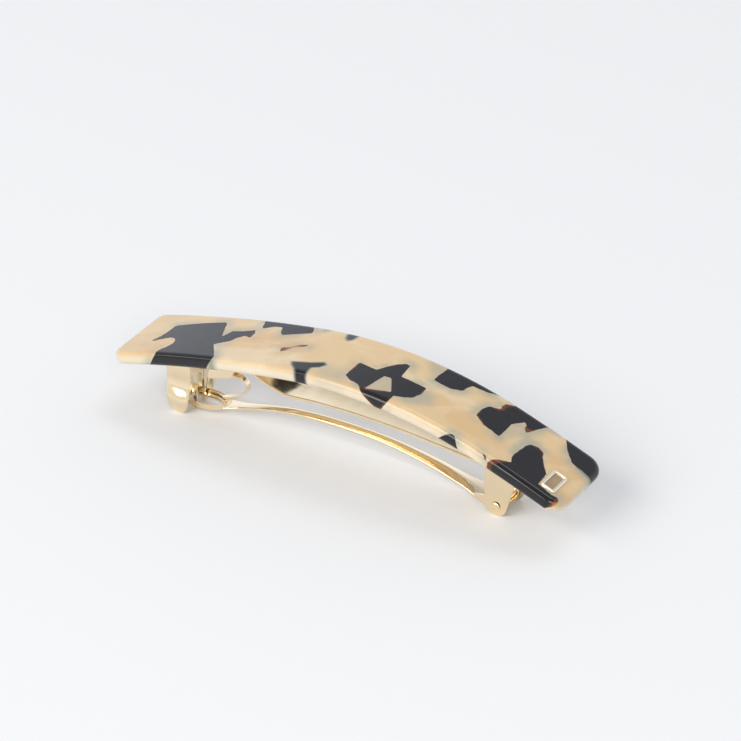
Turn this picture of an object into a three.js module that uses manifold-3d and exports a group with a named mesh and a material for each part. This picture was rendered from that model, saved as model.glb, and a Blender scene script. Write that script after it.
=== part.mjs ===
// Arched hair barrette: an acetate top plate on a sprung metal clip with a hinged clasp arm.
// Millimetres. +X runs along the plate to the hinge end, +Z is up, and Z = 0 is the surface it rests on.
import * as THREE from 'three';
import { mergeVertices } from 'three/addons/utils/BufferGeometryUtils.js';
import Module from 'manifold-3d';

const wasm = await Module();
wasm.setup();

// Driving dimensions

// Plate: an arch of three arcs, each with its length along the top and its turn in degrees.
const plateWidth = 18.6;
const plateThickness = 3.0;
const plateCorners = { catchEnd: 2.5, hingeEnd: 3.6 };
const plateRound = 1.25;
const plateStartHeading = 17.3;
const plateArcs = [
  { length: 41, turn: 8.3 },
  { length: 47, turn: 27.4 },
  { length: 21, turn: 3.7 },
];
const plateMidHeight = 22.85;

const plaque = {
  along: 104.0, y: -4.1, length: 3.4, width: 6.0, thickness: 0.6, corner: 0.7,
  sunk: 0.2, rim: 0.45, fieldCorner: 0.4, fieldDepth: 0.15, seatGap: 0.05, sideGap: 0.1,
};

const pad = { thickness: 0.5, halfWidth: 3.4, catchEnd: [24, 44], hingeEnd: [64, 86] };
const gap = 0.12;

const sheet = 0.6;
const baseHalfWidth = 3.8;
const baseEnds = { catchEnd: 9.6, hingeEnd: 95.6 };
const baseFoldOverlap = 0.2;
const earRadius = 2.35;

const pivot = { x: 35.3, z: 2.2 };
const holeClearance = 0.1;
const pin = { radius: 0.62, headRadius: 0.95, crownRadius: 0.57, headHeight: 0.35, crownHeight: 0.3 };

const rivet = { along: 18.4, radius: 0.6, holeRadius: 0.9, headRadius: 1.35, crownRadius: 0.8, height: 0.4 };
const spring = { thickness: 0.4, halfWidth: 0.7, flangeHalfWidth: 2.0, flangeLength: 4.0, taperLength: 1.2 };

const arm = { thickness: 0.5, cheekOuter: 2.9, cheekRadius: 1.55 };
const ring = {
  x: -36.1, z: 0.9, length: 12.6, innerRadius: 2.1, outerRadius: 3.1, rise: 1.7, foot: 0.35, lip: 0.45,
};

const bar = { thickness: 0.5, halfWidth: 2.8, lugX: 34.4, lugZ: 9.6, lugRadius: 0.5, lugGap: 0.1 };

const tab = { left: -43.0, right: -37.0, foldY: 3.6, baseGap: 0.35, footInner: 1.25, footLow: 0.15 };

// Half-length of a hole cutter or a trimming block, past both sides of the clip.
const beyond = 9;

const archSteps = 44;
const roundSteps = 24;
const ringSteps = 40;
const bevelSteps = 4;
const pathSteps = { spring: 44, arm: 60, bar: 64, tab: 26 };

const goldLook = { color: 0xe8cfa0, roughness: 0.16, metalness: 1 };
const palerGoldLook = { color: 0xeddcba, roughness: 0.2, metalness: 1 };
const acetateLook = { color: 0xe3c79a, roughness: 0.12, metalness: 0 };
const padLook = { color: 0xf1ead9, roughness: 0.6, metalness: 0 };

const baseTop = plateThickness + pad.thickness + 2 * gap;
const baseUnder = baseTop + sheet;

// Solids

function solidOf(geometry) {
  const bare = geometry.clone();
  bare.deleteAttribute('normal');
  bare.deleteAttribute('uv');
  const merged = mergeVertices(bare, 1e-4);
  return new wasm.Manifold(new wasm.Mesh({
    numProp: 3,
    vertProperties: new Float32Array(merged.attributes.position.array),
    triVerts: new Uint32Array(merged.index.array),
  }));
}

function geometryOf(solid) {
  const mesh = solid.getMesh();
  const geometry = new THREE.BufferGeometry();
  geometry.setAttribute('position', new THREE.BufferAttribute(mesh.vertProperties, 3));
  geometry.setIndex(new THREE.BufferAttribute(mesh.triVerts, 1));
  geometry.computeVertexNormals();
  return geometry;
}

function extruded(outline, depth) {
  return new THREE.ExtrudeGeometry(outline, { depth, bevelEnabled: false, curveSegments: roundSteps });
}

// An outline drawn in X and Z, given thickness along Y.
function sidePrism(outline, fromY, toY) {
  const geometry = extruded(outline, toY - fromY);
  geometry.rotateX(Math.PI / 2);
  geometry.translate(0, toY, 0);
  return solidOf(geometry);
}

// An outline drawn in X and Y, given height along Z.
function planPrism(outline, fromZ, toZ) {
  const geometry = extruded(outline, toZ - fromZ);
  geometry.translate(0, 0, fromZ);
  return solidOf(geometry);
}

// An outline drawn in Y and Z, given length along X.
function crossPrism(outline, fromX, toX) {
  const geometry = extruded(outline, toX - fromX);
  const turn = new THREE.Matrix4().makeBasis(
    new THREE.Vector3(0, 1, 0),
    new THREE.Vector3(0, 0, 1),
    new THREE.Vector3(1, 0, 0),
  );
  geometry.applyMatrix4(turn);
  geometry.translate(fromX, 0, 0);
  return solidOf(geometry);
}

function crossRod(x, z, radius, halfLength) {
  const geometry = new THREE.CylinderGeometry(radius, radius, 2 * halfLength, roundSteps);
  geometry.translate(x, 0, z);
  return solidOf(geometry);
}

function boxSolid(length, width, height) {
  return solidOf(new THREE.BoxGeometry(length, width, height));
}

// A turned shape about the Y axis, from its radii and the places along the axis.
function turned(profile, steps) {
  return new THREE.LatheGeometry(profile.map(([radius, y]) => new THREE.Vector2(radius, y)), steps);
}

function shapeOf(points) {
  return new THREE.Shape(points.map(([a, b]) => new THREE.Vector2(a, b)));
}

// A sheet seen edge-on: a line of constant thickness along a curve.
function ribbonShape(points, thickness, steps) {
  const curve = new THREE.SplineCurve(points.map(([a, b]) => new THREE.Vector2(a, b)));
  const upper = [];
  const lower = [];
  for (let i = 0; i <= steps; i += 1) {
    const at = curve.getPointAt(i / steps);
    const way = curve.getTangentAt(i / steps);
    upper.push([at.x - way.y * thickness / 2, at.y + way.x * thickness / 2]);
    lower.unshift([at.x + way.y * thickness / 2, at.y - way.x * thickness / 2]);
  }
  return shapeOf([...upper, ...lower]);
}

// An outline in X and Y that is the same on both sides, from its half-width at each X.
function symmetricShape(halfWidths) {
  const mirrored = halfWidths.map(([x, y]) => [x, -y]);
  return shapeOf([...mirrored, ...[...halfWidths].reverse()]);
}

function mirrorY(solid) {
  return solid.mirror([0, 1, 0]);
}

// Plate arch

// Point on the plate's arch: distance along its top, and depth below it.
function archPoint(along, depth) {
  let heading = THREE.MathUtils.degToRad(plateStartHeading);
  let x = 0;
  let z = 0;
  let left = along;
  plateArcs.forEach((arc, index) => {
    const last = index === plateArcs.length - 1;
    const used = last ? left : Math.min(left, arc.length);
    const bend = THREE.MathUtils.degToRad(arc.turn) / arc.length;
    const next = heading - bend * used;
    x += (Math.sin(heading) - Math.sin(next)) / bend;
    z += (Math.cos(next) - Math.cos(heading)) / bend;
    heading = next;
    left -= used;
  });
  return {
    x: x + Math.sin(heading) * depth,
    z: z - Math.cos(heading) * depth,
    heading,
  };
}

const plateLength = plateArcs.reduce((sum, arc) => sum + arc.length, 0);
const archOrigin = {
  x: archPoint(plateLength, 0).x / 2,
  z: plateMidHeight - archPoint(plateLength / 2, 0).z,
};

function onArch(along, depth) {
  const point = archPoint(along, depth);
  return [point.x - archOrigin.x, point.z + archOrigin.z];
}

function archBand(from, to, top, bottom) {
  const upper = [];
  const lower = [];
  const steps = Math.max(2, Math.round(archSteps * (to - from) / plateLength));
  for (let i = 0; i <= steps; i += 1) {
    const along = from + (to - from) * i / steps;
    upper.unshift(onArch(along, top));
    lower.push(onArch(along, bottom));
  }
  return shapeOf([...lower, ...upper]);
}

// A rectangle about the origin, with one corner radius at its low X end and another at its high X end.
function roundedRectangle(length, width, lowRadius, highRadius) {
  const x = length / 2;
  const y = width / 2;
  const outline = new THREE.Shape();
  outline.moveTo(lowRadius - x, -y);
  outline.lineTo(x - highRadius, -y);
  outline.absarc(x - highRadius, highRadius - y, highRadius, -Math.PI / 2, 0);
  outline.lineTo(x, y - highRadius);
  outline.absarc(x - highRadius, y - highRadius, highRadius, 0, Math.PI / 2);
  outline.lineTo(lowRadius - x, y);
  outline.absarc(lowRadius - x, y - lowRadius, lowRadius, Math.PI / 2, Math.PI);
  outline.lineTo(-x, lowRadius - y);
  outline.absarc(lowRadius - x, lowRadius - y, lowRadius, Math.PI, Math.PI * 1.5);
  return outline;
}

// Turns a part drawn flat, with its seat at the origin, onto the arch.
function seatOnArch(solid, along, depth, y) {
  const heading = archPoint(along, depth).heading;
  const [x, z] = onArch(along, depth);
  return solid.rotate([0, -THREE.MathUtils.radToDeg(heading), 0]).translate([x, y, z]);
}

// Top plate: an arched bar of acetate with rounded edges and corners, and a shallow pocket for the plaque.

function topPlate() {
  const geometry = new THREE.ExtrudeGeometry(archBand(0, plateLength, 0, plateThickness), {
    depth: plateWidth - 2 * plateRound,
    bevelEnabled: true,
    bevelThickness: plateRound,
    bevelSize: plateRound,
    bevelOffset: -plateRound,
    bevelSegments: bevelSteps,
  });
  geometry.rotateX(Math.PI / 2);
  geometry.translate(0, plateWidth / 2 - plateRound, 0);
  const corners = roundedRectangle(
    2 * archOrigin.x, plateWidth, plateCorners.catchEnd, plateCorners.hingeEnd,
  );
  const pocketHeight = 2;
  const pocket = boxSolid(plaque.length + 2 * plaque.sideGap, plaque.width + 2 * plaque.sideGap, pocketHeight)
    .translate([0, 0, pocketHeight / 2 - plaque.sunk]);
  return solidOf(geometry)
    .intersect(planPrism(corners, 0, 2 * plateMidHeight))
    .subtract(seatOnArch(pocket, plaque.along, 0, plaque.y));
}

// Plaque: a plain metal tablet with a raised rim, let into the plate.

function plaqueSolid() {
  const lowest = plaque.seatGap - plaque.sunk;
  const highest = lowest + plaque.thickness;
  const outline = roundedRectangle(plaque.length, plaque.width, plaque.corner, plaque.corner);
  const field = roundedRectangle(
    plaque.length - 2 * plaque.rim, plaque.width - 2 * plaque.rim, plaque.fieldCorner, plaque.fieldCorner,
  );
  const flat = planPrism(outline, lowest, highest)
    .subtract(planPrism(field, highest - plaque.fieldDepth, highest + plaque.thickness));
  return seatOnArch(flat, plaque.along, 0, plaque.y);
}

// Adhesive pads between the plate and the base strip.

function adhesivePad([from, to]) {
  const top = plateThickness + gap;
  return sidePrism(archBand(from, to, top, top + pad.thickness), -pad.halfWidth, pad.halfWidth);
}

// Base strip: one stamping with hinge ears at one end and short skirts near the catch.

const baseFold = baseTop + baseFoldOverlap;

function earOutline() {
  const outline = new THREE.Shape();
  outline.moveTo(32.2, onArch(86, baseFold)[1]);
  outline.lineTo(pivot.x - earRadius, pivot.z + 0.6);
  outline.absarc(pivot.x, pivot.z, earRadius, Math.PI, Math.PI * 1.89);
  outline.lineTo(38.9, 6.5);
  outline.lineTo(40.2, onArch(95, baseFold)[1]);
  outline.lineTo(...onArch(90, baseFold));
  return outline;
}

function skirtOutline() {
  return shapeOf([[-33.1, 9.6], [-27.0, 11.5], onArch(27.2, baseFold), onArch(20.8, baseFold)]);
}

function pinHole() {
  return crossRod(pivot.x, pivot.z, pin.radius + holeClearance, beyond);
}

function rivetHole() {
  const cutter = new THREE.CylinderGeometry(rivet.holeRadius, rivet.holeRadius, 4, roundSteps);
  cutter.rotateX(Math.PI / 2);
  return seatOnArch(solidOf(cutter), rivet.along, baseTop, 0);
}

function baseStrip() {
  const strip = sidePrism(
    archBand(baseEnds.catchEnd, baseEnds.hingeEnd, baseTop, baseUnder), -baseHalfWidth, baseHalfWidth,
  );
  const ear = sidePrism(earOutline(), baseHalfWidth - sheet, baseHalfWidth);
  const skirt = sidePrism(skirtOutline(), baseHalfWidth - sheet, baseHalfWidth);
  const lugHole = crossRod(bar.lugX, bar.lugZ, bar.lugRadius + holeClearance, beyond);
  const belowFloor = boxSolid(2 * plateLength, 4 * baseHalfWidth, plateThickness)
    .translate([0, 0, -plateThickness / 2]);
  return strip.add(ear).add(mirrorY(ear)).add(skirt).add(mirrorY(skirt))
    .subtract(pinHole()).subtract(lugHole).subtract(rivetHole()).subtract(belowFloor);
}

// Hinge pin: a plain pin through both ears, with shallow formed heads.

function hingePin() {
  const half = baseHalfWidth + gap;
  const head = [
    [0, half + pin.headHeight], [pin.crownRadius, half + pin.crownHeight], [pin.headRadius, half],
    [pin.radius, half],
  ];
  const farHead = head.map(([radius, y]) => [radius, -y]);
  const geometry = turned([...farHead, ...head.reverse()], roundSteps);
  geometry.translate(pivot.x, 0, pivot.z);
  return solidOf(geometry);
}

// Kick spring: a leaf riveted under the base, curled back so that its end pushes the arm's head open.

function springPath() {
  const [rivetX, rivetZ] = onArch(rivet.along, baseUnder + spring.thickness / 2 + gap);
  const slope = Math.tan(archPoint(rivet.along, 0).heading);
  const flange = [-1.7, -0.6, 0.5, 1.6].map((step) => [rivetX + step, rivetZ + step * slope]);
  return [
    ...flange, [rivetX + 2.5, rivetZ - 0.2], [rivetX + 2.9, rivetZ - 1.3], [rivetX + 3.6, 10.3],
    [-30.6, 10.0], [-28.8, 10.05], [-26.9, 9.9], [-25.7, 9.1], [-25.4, 8.0],
    [-26.0, 6.7], [-27.7, 5.4], [-29.8, 4.35], [-31.6, 3.75],
  ];
}

function kickSpring() {
  const path = springPath();
  const leaf = sidePrism(
    ribbonShape(path, spring.thickness, pathSteps.spring), -spring.flangeHalfWidth, spring.flangeHalfWidth,
  );
  const start = path[0][0] - 1;
  const flangeEnd = start + spring.flangeLength;
  const plan = symmetricShape([
    [start, spring.flangeHalfWidth], [flangeEnd, spring.flangeHalfWidth],
    [flangeEnd + spring.taperLength, spring.halfWidth], [-20, spring.halfWidth],
  ]);
  return leaf.intersect(planPrism(plan, 0, plateMidHeight)).subtract(rivetHole());
}

function springRivet() {
  const reach = sheet + spring.thickness + 2 * gap;
  const top = -0.02;
  const geometry = turned([
    [0, -reach - rivet.height], [rivet.crownRadius, -reach - 0.8 * rivet.height], [rivet.headRadius, -reach],
    [rivet.radius, -reach], [rivet.radius, top], [0, top],
  ], roundSteps);
  geometry.rotateX(Math.PI / 2);
  return seatOnArch(solidOf(geometry), rivet.along, baseTop, 0);
}

// Clasp arm: a narrow bowed strip with hinge cheeks at one end and a dished ring at the other.

const armPath = [
  [36.4, 1.0], [34.0, 1.0], [30.4, 1.75], [25.0, 3.15], [18.0, 4.85], [9.0, 6.2], [0, 6.6],
  [-9.0, 6.35], [-16.0, 5.6], [-22.0, 4.35], [-27.0, 3.0], [-30.4, 2.2],
];

const armHalfWidths = [
  [-30.4, 2.0], [-29.2, 1.75], [-27, 1.3], [-20, 1.15], [6, 1.3], [14, 1.55], [22, 1.8], [26, 1.98],
  [28.4, 2.3], [30.2, 2.72], [31.4, arm.cheekOuter], [36.4, arm.cheekOuter],
];

function cheekOutline() {
  const outline = new THREE.Shape();
  outline.moveTo(29.6, 1.8);
  outline.lineTo(34.0, 0.8);
  outline.lineTo(36.4, 0.8);
  outline.absarc(pivot.x, pivot.z, arm.cheekRadius, -0.8, Math.PI * 0.6);
  outline.lineTo(29.6, 2.6);
  return outline;
}

function headRing() {
  const geometry = turned([
    [ring.innerRadius, 0], [ring.innerRadius + ring.foot, 0], [ring.outerRadius, ring.rise],
    [ring.outerRadius - ring.lip, ring.rise], [ring.innerRadius, ring.lip], [ring.innerRadius, 0],
  ], ringSteps);
  geometry.rotateX(Math.PI / 2);
  geometry.scale(ring.length / (2 * ring.outerRadius), 1, 1);
  geometry.translate(ring.x, 0, ring.z);
  return solidOf(geometry);
}

function claspArm() {
  const ribbon = ribbonShape(armPath, arm.thickness, pathSteps.arm);
  const strip = sidePrism(ribbon, -baseHalfWidth, baseHalfWidth)
    .intersect(planPrism(symmetricShape(armHalfWidths), -beyond, plateMidHeight));
  const cheek = sidePrism(cheekOutline(), arm.cheekOuter - arm.thickness, arm.cheekOuter);
  return strip.add(cheek).add(mirrorY(cheek)).subtract(pinHole()).add(headRing());
}

// Tension bar: a bowed leaf between the base and the arm, hung on two side lugs in the hinge ears.

const barPath = [
  [bar.lugX, bar.lugZ], [29.0, 10.35], [20.0, 11.2], [10.0, 11.85], [0, 11.95], [-8.0, 11.6], [-12.5, 11.15],
  [-15.0, 11.05], [-17.4, 11.6], [-20.0, 12.5], [-22.2, 13.35], [-23.2, 13.95], [-23.6, 14.7],
];

function tensionBar() {
  const leaf = sidePrism(ribbonShape(barPath, bar.thickness, pathSteps.bar), -bar.halfWidth, bar.halfWidth);
  return leaf.add(crossRod(bar.lugX, bar.lugZ, bar.lugRadius, baseHalfWidth - bar.lugGap));
}

// Catch tabs: sprung side walls with domed finger pads. Each has a leg through the arm's ring that hooks it.

function tabSide() {
  const outline = new THREE.Shape();
  outline.moveTo(tab.left, 14);
  outline.lineTo(tab.left, 9.3);
  outline.quadraticCurveTo(-42.6, 5.0, -41.9, 2.2);
  outline.quadraticCurveTo(-41.5, 0, -40.2, 0);
  outline.lineTo(-38.4, 0);
  outline.quadraticCurveTo(-37.3, 0, tab.right, 1.9);
  outline.lineTo(tab.right, 14);
  return outline;
}

function catchTab() {
  const wallPath = [
    [tab.foldY, 12.4], [tab.foldY, 9.5], [tab.foldY, 6.9], [4.05, 5.2], [4.75, 3.6], [4.95, 2.2],
    [4.75, 0.9], [4.45, 0.1], [4.35, -0.4],
  ];
  const legOutline = [
    [tab.foldY - 0.1, 6.6], [tab.foldY - 0.3, 4.2], [1.85, 3.2], [1.85, 0.62], [2.5, 0.35],
    [2.3, tab.footLow], [tab.footInner, tab.footLow], [tab.footInner, 8.6], [tab.foldY + 0.1, 9.8],
  ];
  const wall = crossPrism(ribbonShape(wallPath, sheet, pathSteps.tab), tab.left, tab.right);
  const leg = crossPrism(shapeOf(legOutline), tab.right - sheet, tab.right);
  const underBase = sidePrism(archBand(0, 40, baseUnder + tab.baseGap, 30), -beyond, beyond);
  return wall.intersect(sidePrism(tabSide(), 0, beyond)).add(leg).intersect(underBase);
}

const object = new THREE.Group();

function place(name, solid, look) {
  const mesh = new THREE.Mesh(geometryOf(solid), new THREE.MeshStandardMaterial(look));
  mesh.name = name;
  object.add(mesh);
}

place('top_plate', topPlate(), acetateLook);
place('plaque', plaqueSolid(), palerGoldLook);
place('adhesive_pad_catch_end', adhesivePad(pad.catchEnd), padLook);
place('adhesive_pad_hinge_end', adhesivePad(pad.hingeEnd), padLook);
place('base_strip', baseStrip(), goldLook);
place('hinge_pin', hingePin(), palerGoldLook);
place('kick_spring', kickSpring(), goldLook);
place('kick_spring_rivet', springRivet(), palerGoldLook);
place('clasp_arm', claspArm(), goldLook);
place('tension_bar', tensionBar(), goldLook);
place('catch_tab_back', catchTab(), goldLook);
place('catch_tab_front', mirrorY(catchTab()), goldLook);

export default object;
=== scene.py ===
from math import cos, hypot, pi, radians, sin, sqrt

import bmesh
import bpy
import numpy as np
from mathutils import Matrix, Vector


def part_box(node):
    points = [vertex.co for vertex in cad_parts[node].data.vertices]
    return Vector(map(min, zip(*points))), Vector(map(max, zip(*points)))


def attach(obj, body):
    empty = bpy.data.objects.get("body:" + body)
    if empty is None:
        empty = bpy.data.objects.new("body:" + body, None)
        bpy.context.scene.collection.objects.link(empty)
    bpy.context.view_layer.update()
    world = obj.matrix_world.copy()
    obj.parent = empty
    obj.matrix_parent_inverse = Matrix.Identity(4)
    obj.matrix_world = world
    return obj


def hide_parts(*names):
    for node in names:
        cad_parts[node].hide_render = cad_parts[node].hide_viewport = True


# Arched hair barrette: mottled acetate plate on a sprung gold clip.
# Outlines below are in millimetres; meshes turn to metres when a piece is made.
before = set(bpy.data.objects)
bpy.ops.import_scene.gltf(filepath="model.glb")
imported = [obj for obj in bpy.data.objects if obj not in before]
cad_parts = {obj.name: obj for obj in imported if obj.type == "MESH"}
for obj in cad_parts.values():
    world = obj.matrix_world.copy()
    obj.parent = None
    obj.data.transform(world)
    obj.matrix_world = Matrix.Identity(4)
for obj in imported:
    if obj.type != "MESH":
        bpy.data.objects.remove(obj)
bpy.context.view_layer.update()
mm = 0.001
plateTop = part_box("top_plate")[1].z
print("frame loaded")

# camera, floor and light

look = {
    "azimuth": 31.76,
    "elevation": 31.70,
    "distance": 903.0,      # from the middle of the plate's top
    "lens": 219.7,
    "sensor": 36,
    "clip": (0.05, 20),
    "middleX": 0.33,
    "aimRight": 2.98,       # the point aimed at, from that middle
    "aimDown": 2.08,
}


def makeCamera():
    azimuth, elevation = radians(look["azimuth"]), radians(look["elevation"])
    back = Vector((sin(azimuth) * cos(elevation), -cos(azimuth) * cos(elevation), sin(elevation)))
    right = Vector((cos(azimuth), sin(azimuth), 0))
    up = back.cross(right)
    middle = Vector((look["middleX"] * mm, 0, plateTop))
    aim = middle + right * look["aimRight"] * mm - up * look["aimDown"] * mm
    data = bpy.data.cameras.new("productCamera")
    data.lens = look["lens"]
    data.sensor_width = look["sensor"]
    data.clip_start, data.clip_end = look["clip"]
    camera = bpy.data.objects.new("productCamera", data)
    bpy.context.scene.collection.objects.link(camera)
    camera.location = middle + back * look["distance"] * mm
    camera.rotation_mode = "QUATERNION"
    camera.rotation_quaternion = (aim - camera.location).to_track_quat("-Z", "Y")
    bpy.context.scene.camera = camera


studio = {
    "floorSize": 6.0,
    "floorColour": (0.80, 0.80, 0.80),
    "floorRoughness": 0.9,
    "floorSpecular": 0.1,
    "farSide": (0.84, 0.885, 0.96),     # the bright backdrop behind the clip
    "nearSide": (0.67, 0.655, 0.635),   # the slightly dimmer room on the viewer's side
    "fade": (-0.65, 0.25),              # Y of a direction where the near side ends and the far side starts
    "ceiling": (0.15, 0.96, 1.25, 0.5),     # Z of a direction, low and high, and the room's strength at each
    # name, place in metres, direction of its long side, length, width, power in watts
    "lamps": [
        ("longStrip", (-0.55, -0.74, 0.96), (1.22, -0.42, 0.36), 1.35, 0.08, 3.0),
        ("frontBox", (-0.55, -1.75, 1.20), (1.0, 0.0, 0.0), 1.30, 0.80, 19.0),
        ("sideBox", (1.10, -1.45, 1.15), (1.0, 1.0, 0.0), 0.90, 0.80, 11.0),
        ("rearBox", (0.10, 0.75, 1.60), (1.0, 0.0, 0.0), 1.00, 0.60, 4.0),
    ],
}


def mapRange(tree, value, low, high, toLow=0.0, toHigh=1.0, soft=False):
    node = tree.nodes.new("ShaderNodeMapRange")
    node.interpolation_type = "SMOOTHSTEP" if soft else "LINEAR"
    names = ("From Min", "From Max", "To Min", "To Max")
    for name, number in zip(names, (low, high, toLow, toHigh)):
        node.inputs[name].default_value = number
    tree.links.new(value, node.inputs["Value"])
    return node.outputs["Result"]


def mixColour(tree, factor, first, second):
    # each colour is three numbers or the output of another node
    node = tree.nodes.new("ShaderNodeMix")
    node.data_type = "RGBA"
    tree.links.new(factor, node.inputs["Factor"])
    colours = [socket for socket in node.inputs if socket.type == "RGBA"]
    for socket, value in zip(colours, (first, second)):
        if isinstance(value, tuple):
            socket.default_value = (*value, 1)
        else:
            tree.links.new(value, socket)
    return [socket for socket in node.outputs if socket.type == "RGBA"][0]


def makeFloor():
    half = studio["floorSize"] / 2
    mesh = bpy.data.meshes.new("studioFloor")
    corners = [(-half, -half, 0), (half, -half, 0), (half, half, 0), (-half, half, 0)]
    mesh.from_pydata(corners, [], [(0, 1, 2, 3)])
    floor = bpy.data.objects.new("studioFloor", mesh)
    bpy.context.scene.collection.objects.link(floor)
    paper = bpy.data.materials.new("paleFloor")
    paper.use_nodes = True
    shader = paper.node_tree.nodes["Principled BSDF"]
    shader.inputs["Base Color"].default_value = (*studio["floorColour"], 1)
    shader.inputs["Roughness"].default_value = studio["floorRoughness"]
    shader.inputs["Specular IOR Level"].default_value = studio["floorSpecular"]
    mesh.materials.append(paper)


def makeRoom():
    # two tones, near and far, that both dim towards the ceiling
    world = bpy.data.worlds.new("studioWorld")
    world.use_nodes = True
    tree = world.node_tree
    background = tree.nodes["Background"]
    way = tree.nodes.new("ShaderNodeSeparateXYZ")
    tree.links.new(tree.nodes.new("ShaderNodeTexCoord").outputs["Generated"], way.inputs["Vector"])
    fade = mapRange(tree, way.outputs["Y"], *studio["fade"], soft=True)
    colour = mixColour(tree, fade, studio["nearSide"], studio["farSide"])
    tree.links.new(colour, background.inputs["Color"])
    strength = mapRange(tree, way.outputs["Z"], *studio["ceiling"], soft=True)
    tree.links.new(strength, background.inputs["Strength"])
    bpy.context.scene.world = world


def makeLamps():
    # every lamp faces the clip
    for name, place, longWay, length, width, power in studio["lamps"]:
        lamp = bpy.data.lights.new(name, "AREA")
        lamp.shape = "RECTANGLE"
        lamp.size = length
        lamp.size_y = width
        lamp.energy = power
        holder = bpy.data.objects.new(name, lamp)
        bpy.context.scene.collection.objects.link(holder)
        away = Vector(place).normalized()
        side = Vector(longWay) - away * away.dot(Vector(longWay))
        side.normalize()
        turn = Matrix((side, away.cross(side), away)).transposed()
        holder.matrix_world = Matrix.Translation(place) @ turn.to_4x4()


makeCamera()
makeFloor()
makeRoom()
makeLamps()
bpy.context.scene.view_settings.view_transform = "Standard"
print("camera, floor and lamps in place")

# materials


class finishSheet:
    # one material and the few kinds of node that the finishes below are made of

    def __init__(self, name):
        self.material = bpy.data.materials.new(name)
        self.material.use_nodes = True
        self.tree = self.material.node_tree
        self.nodes, self.links = self.tree.nodes, self.tree.links
        self.shader = self.nodes["Principled BSDF"]
        self.place = self.nodes.new("ShaderNodeTexCoord").outputs["Object"]

    def setAll(self, **values):
        for name, value in values.items():
            self.shader.inputs[name.replace("_", " ")].default_value = value

    def feed(self, socket, value):
        self.links.new(value, self.shader.inputs[socket])

    def stretched(self, scale):
        node = self.nodes.new("ShaderNodeMapping")
        node.inputs["Scale"].default_value = scale
        self.links.new(self.place, node.inputs["Vector"])
        return node.outputs["Vector"]

    def noise(self, scale, detail=3.0, roughness=0.5, distortion=0.0, source=None):
        node = self.nodes.new("ShaderNodeTexNoise")
        node.inputs["Scale"].default_value = scale
        node.inputs["Detail"].default_value = detail
        node.inputs["Roughness"].default_value = roughness
        node.inputs["Distortion"].default_value = distortion
        self.links.new(source or self.place, node.inputs["Vector"])
        return node.outputs["Fac"]

    def attribute(self, name):
        node = self.nodes.new("ShaderNodeAttribute")
        node.attribute_name = name
        return node.outputs["Fac"]

    def remap(self, value, low, high, toLow=0.0, toHigh=1.0, soft=False):
        return mapRange(self.tree, value, low, high, toLow, toHigh, soft)

    def maths(self, operation, first, second):
        node = self.nodes.new("ShaderNodeMath")
        node.operation = operation
        for slot, value in enumerate((first, second)):
            if isinstance(value, (int, float)):
                node.inputs[slot].default_value = value
            else:
                self.links.new(value, node.inputs[slot])
        return node.outputs["Value"]

    def mixColour(self, factor, first, second):
        return mixColour(self.tree, factor, first, second)

    def bump(self, height, distance, under=None):
        node = self.nodes.new("ShaderNodeBump")
        node.inputs["Distance"].default_value = distance
        self.links.new(height, node.inputs["Height"])
        if under:
            self.links.new(under, node.inputs["Normal"])
        return node.outputs["Normal"]


acetate = {
    "cream": (0.67, 0.49, 0.275),
    "tan": (0.61, 0.385, 0.185),
    "pale": (0.76, 0.66, 0.48),
    "haze": (0.36, 0.35, 0.275),        # cream with a flake somewhere beneath it
    "paintedSideLight": (0.73, 0.685, 0.575),       # painted light: the side faces painted paler, standing in for the front light on them and the light through the edge
    "dark": (0.011, 0.010, 0.012),
    "brown": (0.14, 0.040, 0.014),
    "amber": (0.62, 0.25, 0.04),
    "softness": 0.07,                   # half the width of a flake's border, in millimetres
    "wander": 0.05,                     # how far that border wavers
    "haloReach": 3.0,                   # how far the haze spreads from a flake
    "paintedSideLightDepths": (0.15, 1.4),          # depths between which the side is painted paler for the light on it
    "warmReach": 1.9,                   # how far brown runs into the warmest flakes
    "subsurface": (1.0, 0.7, 0.45),
}


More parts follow.
